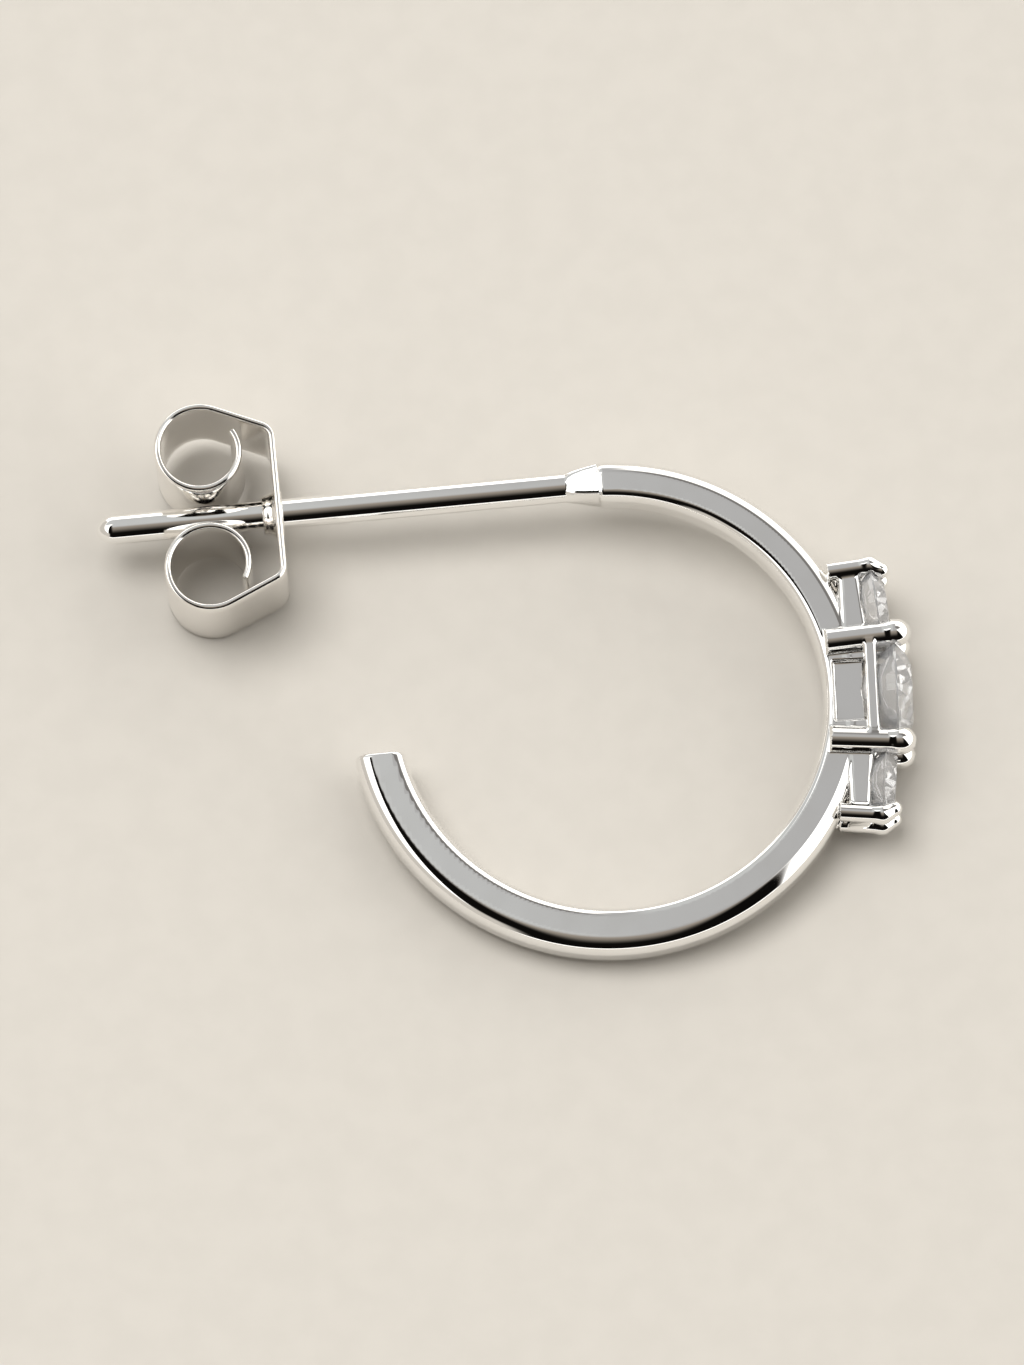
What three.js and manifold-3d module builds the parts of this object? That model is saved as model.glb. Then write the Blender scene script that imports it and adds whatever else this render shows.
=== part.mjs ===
// C-hoop earring with a three-stone head, an ear post and a butterfly back.
// Millimetres, +Z up. The earring lies on its side, as it comes to rest on a table.
//
// Everything is first built in the hoop's own frame: its centre is the origin, X runs towards
// the stones, Y from the centre towards the post, and Z is the hoop's axis. The whole earring is
// then leaned onto the three points that it rests on and lowered to z = 0.

import * as THREE from 'three';
import { mergeVertices } from 'three/addons/utils/BufferGeometryUtils.js';
import Module from 'manifold-3d';

const wasm = await Module();
wasm.setup();

// ---------------------------------------------------------------- driving dimensions

// the band: flat sides with rounded corners towards its outer and its inner face; it is deepest
// at its free end and thins evenly towards the post
const HOOP_RADIUS = 6.14;             // to the outer face at the free end
const BAND_DEPTH = 1.18;              // radially, at the free end
const BAND_TAPER = 0.22;              // how much less deep it is at the post
const BAND_WIDTH = 1.16;              // along the hoop's axis
const OUTER_CORNER = { across: 0.42, down: 0.4 };
const INNER_CORNER = { across: 0.28, down: 0.32 };
const CORNER_STEPS = 6;
const BAND_START_X = 0.2;             // the end that carries the post is cut square here
const BAND_END_Y = -0.7;              // the free end is cut parallel to the post here
const BAND_FROM = 88;                 // degrees from +X to the end at the post
const BAND_TO = -175;                 // and on through +X to the free end
const BAND_STEPS = 96;                // facets round the whole circle

// the ear post and the solder cup that joins it to the band
const POST_RADIUS = 0.35;
const POST_Y = 5.47;                  // its axis, through the middle of the band's end
const POST_TIP_X = -11.65;
const POST_DOME = 0.3;                // length of the domed tip
const CUP_START_X = -0.57;            // where the cup leaves the post
const CUP_HALF_DEPTH = 0.43;          // where it meets the band, like the next two rows
const CUP_HALF_WIDTH = 0.565;         // over its flattened sides
const CUP_CROWN = 0.85;               // how far its sides would bulge if they weren't flattened
const POST_SIDES = 28;

// the head: a straight gallery across the front of the band, with prongs on both its sides; its
// dimensions are those of a head square across the X axis, before it is turned into its place
const HEAD_TURN = -2.8;               // degrees round the hoop's centre, away from the post
const HEAD_HALF_LENGTH = 3.08;
const HEAD_UNDERSIDE_X = 5.42;        // its ends overhang the curving band from here
const HEAD_TOP_X = 6.12;              // its outer face beside the centre stone
const HEAD_FAN = 6;                   // degrees that each side stone leans away from the middle
const RECESS_INNER_X = 5.2;           // the blind recess in each side, under the centre stone
const RECESS_OUTER_X = 6.06;
const RECESS_HALF = 0.72;
const RECESS_FLOOR = 0.45;            // from the middle plane to its floor
const RAIL_DEPTH = 0.2;               // the rails that close the recesses under the stone
const RAIL_IN = 0.56;
const RAIL_OUT = 0.92;

// prongs: the shared ones stand between the stones, the end ones hook over the side stones;
// fan leans one outwards in degrees, and its claw, if any, turns back in from the knee
const SHARED_PRONG = { y: 1.18, z: 0.64, radius: 0.3, base: 5.08, length: 1.99, fan: 4.5, claw: 0 };
const END_PRONG = { y: 2.92, z: 0.46, radius: 0.22, base: 5.2, length: 1.2, fan: HEAD_FAN, claw: 0.38 };
const CLAW_TURN = 42;
const PRONG_SIDES = 16;

// round brilliants; the x of a stone is that of its girdle
const CENTRE_STONE = { radius: 1.25, x: 6.65, y: 0, fan: 0 };
const SIDE_STONE = { radius: 0.87, x: 6.28, y: 2.2, fan: HEAD_FAN };
const GIRDLE_HALF = 0.028;            // of the stone's radius, like the next rows
const TABLE_HEIGHT = 0.31;
const SEAT_CLEARANCE = 1.05;          // size of a seat in its metal, next to the stone

// facet families: how many, their slope in degrees, where they meet the girdle and their turn
const CROWN_FACETS = [
  { count: 8, slope: 34.5, reach: 0.995, turn: 0 },
  { count: 16, slope: 41, reach: 0.985, turn: 0 },
  { count: 8, slope: 23, reach: 1.225, turn: 22.5 },
];
const PAVILION_FACETS = [
  { count: 8, slope: 41, reach: 0.995, turn: 0 },
  { count: 16, slope: 42.6, reach: 0.985, turn: 0 },
];
const GIRDLE_SIDES = 32;

// the butterfly back: a strip with a hole for the post, rolled into a scroll at each end
const BACK_X = -7.25;                 // its front face along the post, as it is worn
const STRIP_THICKNESS = 0.16;
const STRIP_WIDTH = 2.4;
const SCROLL_RADIUS = 1.08;           // to the outside of the strip
const SCROLL_BEHIND = 1.78;           // from the front face to the scroll's middle
const SCROLL_GAP = 0.03;              // between the post and each scroll
const SCROLL_TIGHTEN = 0.1;           // how much smaller the inner turn is
const SCROLL_END = -212;              // degrees, where the inner turn stops
const SHOULDER_RISE = 24;             // degrees, from the plate's corner up to the scroll
const SHOULDER_RADIUS = 0.35;
const BORE_RADIUS = 0.39;
const COLLAR_RADIUS = 0.6;            // the drawn collar round the hole
const COLLAR_LENGTH = 0.3;

// finishes
const SILVER = new THREE.MeshStandardMaterial({ color: 0xd9dadb, roughness: 0.12, metalness: 1 });
const BACK_SILVER = new THREE.MeshStandardMaterial({ color: 0xd8d6d0, roughness: 0.18, metalness: 1 });
const CRYSTAL = new THREE.MeshStandardMaterial({ color: 0xf2f4f6, roughness: 0.02, metalness: 0 });

// ---------------------------------------------------------------- tools

const radians = THREE.MathUtils.degToRad;

// a closed three.js geometry as a solid that can be joined and cut
function solid(geometry) {
  const bare = geometry.clone();
  bare.deleteAttribute('normal');
  bare.deleteAttribute('uv');
  const merged = mergeVertices(bare, 1e-5);
  const vertProperties = new Float32Array(merged.attributes.position.array);
  const triVerts = new Uint32Array(merged.index.array);
  return new wasm.Manifold(new wasm.Mesh({ numProp: 3, vertProperties, triVerts }));
}

function geometryOf(shape) {
  const mesh = shape.getMesh();
  const geometry = new THREE.BufferGeometry();
  geometry.setAttribute('position', new THREE.BufferAttribute(mesh.vertProperties, 3));
  geometry.setIndex(new THREE.BufferAttribute(mesh.triVerts, 1));
  geometry.computeVertexNormals();
  return geometry;
}

function join(shapes) {
  return shapes.reduce((whole, shape) => whole.add(shape));
}

// a profile of [radius, height] points turned round the Z axis
function turned(profile, sides) {
  const points = profile.map(([radius, height]) => new THREE.Vector2(radius, height));
  return new THREE.LatheGeometry(points, sides).rotateX(Math.PI / 2);
}

// the same, lying along the X axis
function turnedAlongX(profile, sides) {
  return turned(profile, sides).rotateY(Math.PI / 2);
}

// points on an ellipse between two angles in degrees
function ellipse(x, y, rx, ry, from, to, steps) {
  return Array.from({ length: steps + 1 }, (_, i) => {
    const angle = radians(from + (to - from) * i / steps);
    return [x + rx * Math.cos(angle), y + ry * Math.sin(angle)];
  });
}

// a box between two corners
function block(low, high) {
  const size = high.map((value, i) => value - low[i]);
  const middle = high.map((value, i) => (value + low[i]) / 2);
  return new THREE.BoxGeometry(...size).translate(...middle);
}

// a plate of an XY outline, centred on the hoop's middle plane
function plate(points, thickness) {
  const outline = new THREE.Shape(points.map(([x, y]) => new THREE.Vector2(x, y)));
  return new THREE.ExtrudeGeometry(outline, { depth: thickness, bevelEnabled: false })
    .translate(0, 0, -thickness / 2);
}

// the head's turn round the hoop's centre
const HEAD_PLACE = new THREE.Matrix4().makeRotationZ(radians(HEAD_TURN));

// the place of something on the square head: out from the centre and fanned about its own foot
function onHead({ y, fan }, x, z = 0) {
  const lean = new THREE.Matrix4().makeRotationZ(radians(Math.sign(y) * fan));
  return lean.setPosition(x, y, z);
}

// ---------------------------------------------------------------- the hoop

// a corner of the band, as [across, down] from where the side stops being flat
function corner({ across, down }) {
  return ellipse(0, -down, across, down, 90, 0, CORNER_STEPS).map(([x, y]) => [x, -y]);
}

// the outer corner of one flat side, as [radius, height]
function outerCorner() {
  const foot = HOOP_RADIUS - OUTER_CORNER.across;
  return corner(OUTER_CORNER).map(([across, down]) => [foot + across, BAND_WIDTH / 2 - down]);
}

function innerCorner() {
  const foot = HOOP_RADIUS - BAND_DEPTH + INNER_CORNER.across;
  return corner(INNER_CORNER).map(([across, down]) => [foot - across, BAND_WIDTH / 2 - down]);
}

// the band's depth at an angle in degrees, next to its depth at the free end
function depthShare(angle) {
  const mouth = (360 - (BAND_FROM - BAND_TO)) / 2;
  const along = THREE.MathUtils.euclideanModulo(BAND_FROM + mouth - angle, 360) - mouth;
  const share = THREE.MathUtils.clamp(along / (BAND_FROM - BAND_TO), 0, 1);
  return 1 - BAND_TAPER / BAND_DEPTH * (1 - share);
}

// a ring with its section thinned towards the post
function thinned(ring) {
  const inner = HOOP_RADIUS - BAND_DEPTH;
  const places = ring.attributes.position;
  for (let i = 0; i < places.count; i += 1) {
    const [x, y] = [places.getX(i), places.getY(i)];
    const radius = Math.hypot(x, y);
    const share = depthShare(THREE.MathUtils.radToDeg(Math.atan2(y, x)));
    const kept = (inner + (radius - inner) * share) / radius;
    places.setXY(i, x * kept, y * kept);
  }
  return ring;
}

// the C-shaped band: a full ring less the mouth that the ear goes through
function band() {
  const upper = [...outerCorner().reverse(), ...innerCorner()];
  const lower = upper.map(([radius, height]) => [radius, -height]).reverse();
  const profile = [...upper, ...lower];
  const ring = thinned(turned([...profile, profile[0]], BAND_STEPS));
  const reach = 2 * HOOP_RADIUS;
  const mouth = block([-reach, BAND_END_Y, -reach], [BAND_START_X, reach, reach]);
  return solid(ring).subtract(solid(mouth));
}

// the ear post with its domed tip, and the cup that flares into the band's end
function post() {
  const dome = ellipse(0, POST_DOME, POST_RADIUS, POST_DOME, -90, 0, 6);
  const length = BAND_START_X - POST_TIP_X;
  const rod = turnedAlongX([...dome, [POST_RADIUS, length + 0.2], [0, length + 0.2]], POST_SIDES)
    .translate(POST_TIP_X, POST_Y, 0);
  return join([solid(rod), solid(cup())]);
}

// a cone round the post that widens into the flat-sided section of the band's end
function cup() {
  const length = BAND_START_X - CUP_START_X;
  const profile = [[0, 0], [POST_RADIUS, 0], [1, length], [1, length + 0.15], [0, length + 0.15]];
  const cone = turnedAlongX(profile, POST_SIDES);
  const places = cone.attributes.position;
  for (let i = 0; i < places.count; i += 1) {
    const [y, z] = [places.getY(i), places.getZ(i)];
    if (Math.hypot(y, z) > 0.9) {
      const width = THREE.MathUtils.clamp(z * CUP_CROWN, -CUP_HALF_WIDTH, CUP_HALF_WIDTH);
      places.setXYZ(i, places.getX(i), y * CUP_HALF_DEPTH, width);
    }
  }
  return cone.translate(CUP_START_X, POST_Y, 0);
}

// the straight gallery, whose outer face falls away beside the centre stone
function gallery() {
  const fall = Math.tan(radians(HEAD_FAN)) * (HEAD_HALF_LENGTH - SHARED_PRONG.y);
  const outline = [
    [HEAD_UNDERSIDE_X, -HEAD_HALF_LENGTH],
    [HEAD_TOP_X - fall, -HEAD_HALF_LENGTH],
    [HEAD_TOP_X, -SHARED_PRONG.y],
    [HEAD_TOP_X, SHARED_PRONG.y],
    [HEAD_TOP_X - fall, HEAD_HALF_LENGTH],
    [HEAD_UNDERSIDE_X, HEAD_HALF_LENGTH],
  ];
  return solid(plate(outline, BAND_WIDTH));
}

// the two rails that run between the shared prongs, one over each recess
function recessRails() {
  const low = RECESS_OUTER_X;
  const high = RECESS_OUTER_X + RAIL_DEPTH;
  const reach = SHARED_PRONG.y;
  const sides = [[RAIL_IN, RAIL_OUT], [-RAIL_OUT, -RAIL_IN]];
  return join(sides.map(([from, to]) => solid(block([low, -reach, from], [high, reach, to]))));
}

// a round bar along X with a domed end
function domedBar(radius, length) {
  const dome = ellipse(0, length - radius, radius, radius, 0, 90, 4);
  return turnedAlongX([[0, 0], [radius, 0], ...dome], PRONG_SIDES);
}

// one prong, standing on its foot; the claw starts inside the shank's domed end
function prong({ radius, length, claw }, side) {
  const shank = solid(domedBar(radius, length));
  if (!claw) return shank;
  const bend = domedBar(radius, claw + radius)
    .rotateZ(-side * radians(CLAW_TURN))
    .translate(length - radius, 0, 0);
  return shank.add(solid(bend));
}

function prongs() {
  const all = [];
  for (const kind of [SHARED_PRONG, END_PRONG]) {
    for (const side of [-1, 1]) {
      for (const face of [-1, 1]) {
        const foot = { y: side * kind.y, fan: kind.fan };
        const place = onHead(foot, kind.base, face * kind.z);
        all.push(prong(kind, side).transform(place.elements));
      }
    }
  }
  return join(all);
}

function recess() {
  const beyond = 2 * RAIL_OUT;
  const high = [RECESS_OUTER_X, RECESS_HALF, beyond];
  const near = solid(block([RECESS_INNER_X, -RECESS_HALF, RECESS_FLOOR], high));
  return near.add(near.mirror([0, 0, 1]));
}

// what is left of the gallery between the rails makes way for the stone
function stoneWell() {
  const low = [RECESS_OUTER_X - 0.04, -RECESS_HALF, -RAIL_IN];
  return solid(block(low, [HEAD_TOP_X + 1, RECESS_HALF, RAIL_IN]));
}

function hoop(seats) {
  const head = join([gallery(), recessRails(), prongs()]).transform(HEAD_PLACE.elements);
  const cuts = [recess(), stoneWell(), ...seats].map((cut) => cut.transform(HEAD_PLACE.elements));
  return cuts.reduce((rest, cut) => rest.subtract(cut), join([band(), post(), head]));
}

// ---------------------------------------------------------------- the stones

// every flat of one family is a side of the same pyramid, its tip along +Z
function facetPyramid({ count, slope, reach, turn }, radius, foot) {
  const depth = 3 * radius;
  const rise = Math.tan(radians(slope));
  const corner = 1 / Math.cos(Math.PI / count);
  const base = (reach * radius + depth / rise) * corner;
  const tip = reach * radius * rise;
  return turned([[0, -depth], [base, -depth], [0, tip]], count)
    .rotateZ(Math.PI / count + radians(turn))
    .translate(0, 0, foot);
}

// a round brilliant about the middle of its girdle, its table towards +X
function brilliant(radius) {
  const girdle = GIRDLE_HALF * radius;
  const table = TABLE_HEIGHT * radius;
  let stone = solid(turned([[0, -radius], [radius, -radius], [radius, table], [0, table]], GIRDLE_SIDES));
  for (const family of CROWN_FACETS) {
    stone = stone.intersect(solid(facetPyramid(family, radius, girdle)));
  }
  for (const family of PAVILION_FACETS) {
    stone = stone.intersect(solid(facetPyramid(family, radius, girdle).rotateX(Math.PI)));
  }
  return geometryOf(stone).rotateY(Math.PI / 2);
}

function seat({ radius, x, y, fan }) {
  return solid(brilliant(radius * SEAT_CLEARANCE).applyMatrix4(onHead({ y, fan }, x)));
}

// ---------------------------------------------------------------- the butterfly back

// the middle line of one scroll, from where it leaves the flat plate to its end, as
// [behind the front face, away from the post's axis]
function scrollLine() {
  const half = STRIP_THICKNESS / 2;
  const turn = SCROLL_RADIUS - half;
  const middle = [SCROLL_BEHIND, POST_RADIUS + SCROLL_GAP + SCROLL_RADIUS];
  const leave = 90 + SHOULDER_RISE;
  const normal = [Math.cos(radians(leave)), Math.sin(radians(leave))];
  const bendX = half + SHOULDER_RADIUS;
  const reach = normal[0] * middle[0] + normal[1] * middle[1] + turn;
  const bendY = (reach - SHOULDER_RADIUS - normal[0] * bendX) / normal[1];
  const inner = turn - SCROLL_TIGHTEN;
  return [
    ...ellipse(bendX, bendY, SHOULDER_RADIUS, SHOULDER_RADIUS, 180, leave, 6),
    ...ellipse(...middle, turn, turn, leave, -90, 28),
    ...ellipse(middle[0], middle[1] - SCROLL_TIGHTEN, inner, inner, -90, SCROLL_END, 16).slice(1),
  ];
}

// both edges of a strip of constant thickness along a line of points
function stripOutline(line, thickness) {
  const left = [];
  const right = [];
  line.forEach(([x, y], i) => {
    const [x0, y0] = line[Math.max(i - 1, 0)];
    const [x1, y1] = line[Math.min(i + 1, line.length - 1)];
    const length = Math.hypot(x1 - x0, y1 - y0);
    const side = [(y0 - y1) * thickness / 2 / length, (x1 - x0) * thickness / 2 / length];
    left.push([x + side[0], y + side[1]]);
    right.push([x - side[0], y - side[1]]);
  });
  return [...left, ...right.reverse()];
}

// the whole back, about the point where the post's axis meets its front face
function butterflyBack() {
  const upper = scrollLine().map(([behind, away]) => [-behind, away]);
  const lower = upper.map(([x, y]) => [x, -y]);
  const outline = stripOutline([...lower.reverse(), ...upper], STRIP_THICKNESS);
  const strip = solid(plate(outline, STRIP_WIDTH));
  const rooted = COLLAR_LENGTH + STRIP_THICKNESS / 2;
  const collar = turnedAlongX(
    [[0, 0], [COLLAR_RADIUS - 0.1, 0], [COLLAR_RADIUS, COLLAR_LENGTH], [COLLAR_RADIUS, rooted], [0, rooted]],
    POST_SIDES,
  ).translate(-COLLAR_LENGTH - STRIP_THICKNESS, 0, 0);
  const bore = turnedAlongX([[0, 0], [BORE_RADIUS, 0], [BORE_RADIUS, 2], [0, 2]], POST_SIDES)
    .translate(-1, 0, 0);
  return geometryOf(strip.add(solid(collar)).subtract(solid(bore)));
}

// ---------------------------------------------------------------- assembly

function piece(name, geometry, material) {
  const mesh = new THREE.Mesh(geometry, material);
  mesh.name = name;
  return mesh;
}

function stone(name, { radius, x, y, fan }) {
  const mesh = piece(name, brilliant(radius), CRYSTAL);
  mesh.applyMatrix4(HEAD_PLACE.clone().multiply(onHead({ y, fan }, x)));
  return mesh;
}

// the earring rests on its lower scroll, the centre stone's girdle and the edge of the band's side
function restingTurn() {
  const scroll = new THREE.Vector3(
    BACK_X - SCROLL_BEHIND,
    POST_Y - POST_RADIUS - SCROLL_GAP - 2 * SCROLL_RADIUS,
    -STRIP_WIDTH / 2,
  );
  const girdle = new THREE.Vector3(CENTRE_STONE.x, 0, -CENTRE_STONE.radius).applyMatrix4(HEAD_PLACE);
  const inner = HOOP_RADIUS - BAND_DEPTH;
  const reach = inner + (outerCorner()[0][0] - inner) * depthShare(-90);
  const edge = new THREE.Vector3(0, -reach, -BAND_WIDTH / 2);
  const up = girdle.clone().sub(scroll).cross(edge.clone().sub(scroll)).normalize();
  if (up.z < 0) up.negate();
  return new THREE.Quaternion().setFromUnitVectors(up, new THREE.Vector3(0, 0, 1));
}

const upperSide = { ...SIDE_STONE };
const lowerSide = { ...SIDE_STONE, y: -SIDE_STONE.y };

const earring = new THREE.Group();
earring.add(
  piece('hoop', geometryOf(hoop([CENTRE_STONE, upperSide, lowerSide].map(seat))), SILVER),
  stone('centre_stone', CENTRE_STONE),
  stone('upper_side_stone', upperSide),
  stone('lower_side_stone', lowerSide),
);
const back = piece('butterfly_back', butterflyBack(), BACK_SILVER);
back.position.set(BACK_X, POST_Y, 0);
earring.add(back);
earring.quaternion.copy(restingTurn());

// the origin is under the middle of the resting earring
const group = new THREE.Group();
group.add(earring);
group.updateMatrixWorld(true);
const bounds = new THREE.Box3().setFromObject(group, true);
const centre = bounds.getCenter(new THREE.Vector3());
earring.position.set(-centre.x, -centre.y, -bounds.min.z);

export default group;
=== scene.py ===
"""Looks of a small silver C-hoop earring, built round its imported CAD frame.

The metal is one soldered hoop (band, ear post and claw head), three round brilliants and a
butterfly back that slides on the post. Sizes are in millimetres in the earring's own frame:
the hoop's centre is the origin, X runs towards the stones, Y towards the post and Z along the
hoop's axis. Placement turns them into the metres of the row frame.
"""

import logging
import math
from dataclasses import dataclass, field
from enum import Enum
from typing import Any, Callable, Iterable, Optional, Sequence, Union

import bmesh
import bpy
import numpy as np
from mathutils import Matrix, Vector


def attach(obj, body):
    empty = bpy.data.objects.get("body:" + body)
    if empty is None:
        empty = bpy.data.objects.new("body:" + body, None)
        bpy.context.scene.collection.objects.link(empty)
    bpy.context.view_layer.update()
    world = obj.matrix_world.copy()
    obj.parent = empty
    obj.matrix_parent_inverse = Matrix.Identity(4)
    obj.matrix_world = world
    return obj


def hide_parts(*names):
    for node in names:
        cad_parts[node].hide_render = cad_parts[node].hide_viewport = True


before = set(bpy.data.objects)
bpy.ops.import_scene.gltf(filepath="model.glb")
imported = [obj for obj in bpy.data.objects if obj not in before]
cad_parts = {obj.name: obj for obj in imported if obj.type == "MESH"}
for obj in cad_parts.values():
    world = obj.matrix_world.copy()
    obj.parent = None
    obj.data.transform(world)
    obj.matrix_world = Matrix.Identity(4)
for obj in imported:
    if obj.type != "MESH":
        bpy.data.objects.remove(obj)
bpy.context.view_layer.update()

LOG = logging.getLogger("earring")
MM = 0.001
# vertex attribute of how hidden each point is, from which the silver paints shade into its crevices
SHELTER = "shelter"

Colour = tuple[float, float, float]
Point = tuple[float, float, float]
Flat = tuple[float, float]
Grid = tuple[np.ndarray, np.ndarray, np.ndarray]


# ---------------------------------------------------------------- placement and names


class Body(Enum):
    """The rigid bodies that a piece can ride on."""

    EARRING = "earring"
    BACK = "back"


class Slot(Enum):
    """The material slots that the finishes name."""

    SILVER = "silver"
    BACK_SILVER = "back_silver"
    CRYSTAL = "crystal"


@dataclass(frozen=True)
class Placement:
    """How the earring's own frame lies in the row frame: leaned onto its three resting points."""

    origin: Point = (2.260239, -1.019626, 1.137793)
    x_axis: Point = (0.999732, -0.001111, 0.023103)
    y_axis: Point = (-0.001111, 0.995385, 0.095952)
    z_axis: Point = (-0.023103, -0.095952, 0.995118)

    def turn(self) -> Matrix:
        """Returns the rotation from the own frame to the row frame."""
        return Matrix((self.x_axis, self.y_axis, self.z_axis)).transposed()

    def matrix(self) -> Matrix:
        """Returns the matrix from own millimetres to row metres."""
        lean = Matrix.Translation(Vector(self.origin)) @ self.turn().to_4x4()
        return Matrix.Scale(MM, 4) @ lean


PLACEMENT = Placement()


# ---------------------------------------------------------------- shader expressions


class Recipe:
    """A node tree under construction."""

    def __init__(self, tree: bpy.types.NodeTree) -> None:
        """Takes a material's or the world's tree, and clears it."""
        self.tree = tree
        tree.nodes.clear()

    def node(
        self,
        kind: str,
        settings: Optional[dict[str, Any]] = None,
        inputs: Optional[dict[Union[str, int], Any]] = None,
    ) -> bpy.types.Node:
        """Adds one node.

        Args:
            kind: the node's type, such as ShaderNodeTexNoise.
            settings: its properties, set first.
            inputs: a value, a socket or a Value for each named or numbered input.

        Returns:
            The new node.
        """
        made = self.tree.nodes.new(kind)
        for name, value in (settings or {}).items():
            setattr(made, name, value)
        for name, value in (inputs or {}).items():
            socket = made.inputs[name]
            value = value.socket if isinstance(value, Value) else value
            if isinstance(value, bpy.types.NodeSocket):
                self.tree.links.new(value, socket)
            else:
                socket.default_value = value
        return made

    def noise(self, place: bpy.types.NodeSocket, scale: float, detail: float) -> "Value":
        """Returns a noise from 0 to 1, with so many waves a unit of the place and so many octaves."""
        inputs = {"Vector": place, "Scale": scale, "Detail": detail}
        return Value(self, self.node("ShaderNodeTexNoise", None, inputs).outputs[0])

    def mix(self, factor: Any, low: Any, high: Any) -> bpy.types.NodeSocket:
        """Returns a colour between the one at factor 0 and the one at 1, each a colour or a socket."""
        inputs = {0: factor, 6: opaque(low), 7: opaque(high)}
        return self.node("ShaderNodeMix", {"data_type": "RGBA"}, inputs).outputs[2]


class Value:
    """A number socket whose Python arithmetic adds Math nodes."""

    def __init__(self, recipe: Recipe, socket: bpy.types.NodeSocket) -> None:
        """Wraps an output socket of the recipe's tree."""
        self.recipe = recipe
        self.socket = socket

    def _math(self, operation: str, *others: Any, swap: bool = False, clamp: bool = False) -> "Value":
        """Adds one Math node.

        Args:
            operation: the node's operation.
            others: the numbers or Values after this one.
            swap: puts the other number first.
            clamp: keeps the result from 0 to 1.

        Returns:
            The result.
        """
        terms = [self, *others]
        if swap:
            terms.reverse()
        settings = {"operation": operation, "use_clamp": clamp}
        made = self.recipe.node("ShaderNodeMath", settings, dict(enumerate(terms)))
        return Value(self.recipe, made.outputs[0])

    def __add__(self, other: Any) -> "Value":
        """Returns the sum."""
        return self._math("ADD", other)

    __radd__ = __add__

    def __mul__(self, other: Any) -> "Value":
        """Returns the product."""
        return self._math("MULTIPLY", other)

    __rmul__ = __mul__

    def __sub__(self, other: Any) -> "Value":
        """Returns the difference."""
        return self._math("SUBTRACT", other)

    def __rsub__(self, other: Any) -> "Value":
        """Returns the difference from another number."""
        return self._math("SUBTRACT", other, swap=True)

    def __pow__(self, other: Any) -> "Value":
        """Returns the power."""
        return self._math("POWER", other)

    def root(self) -> "Value":
        """Returns the square root."""
        return self._math("SQRT")

    def clamped(self) -> "Value":
        """Returns the number kept from 0 to 1."""
        return self._math("ADD", 0.0, clamp=True)

    def step(self, low: float, high: float) -> "Value":
        """Rises smoothly from 0 to 1, or falls if low is over high.

        Args:
            low: where the result is 0.
            high: where it is 1.

        Returns:
            The smooth step.
        """
        settings = {"interpolation_type": "SMOOTHSTEP"}
        inputs = {0: self, 1: min(low, high), 2: max(low, high)}
        made = self.recipe.node("ShaderNodeMapRange", settings, inputs)
        rising = Value(self.recipe, made.outputs[0])
        return 1.0 - rising if low > high else rising


def opaque(colour: Any) -> Any:
    """Returns a colour of three numbers with a fourth, and anything else as it is."""
    return (*colour, 1.0) if isinstance(colour, tuple) and len(colour) == 3 else colour


# ---------------------------------------------------------------- finishes


@dataclass(frozen=True)
class Finish:
    """A finish whose material is made once and then shared."""

    name: str
    slot: Optional[Slot]

    def material(self) -> bpy.types.Material:
        """Makes the material the first time, and finds it again later.

        Returns:
            The material.
        """
        made = bpy.data.materials.get(self.name)
        if made is None:
            made = bpy.data.materials.new(self.name)
            made.use_nodes = True
            recipe = Recipe(made.node_tree)
            inputs = {0: recipe.node("ShaderNodeTexCoord").outputs["Object"], "Scale": 1 / MM}
            place = recipe.node("ShaderNodeVectorMath", {"operation": "SCALE"}, inputs).outputs[0]
            shader = recipe.node("ShaderNodeBsdfPrincipled", None, self.surface(recipe, place))
            recipe.node("ShaderNodeOutputMaterial", None, {"Surface": shader.outputs["BSDF"]})
        return made

    def surface(self, recipe: Recipe, place: bpy.types.NodeSocket) -> dict[str, Any]:
        """Works out the surface.

        Args:
            recipe: the material's tree.
            place: where on the object, in millimetres.

        Returns:
            What goes into each input of the shader that the finish sets.
        """
        raise NotImplementedError


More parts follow.
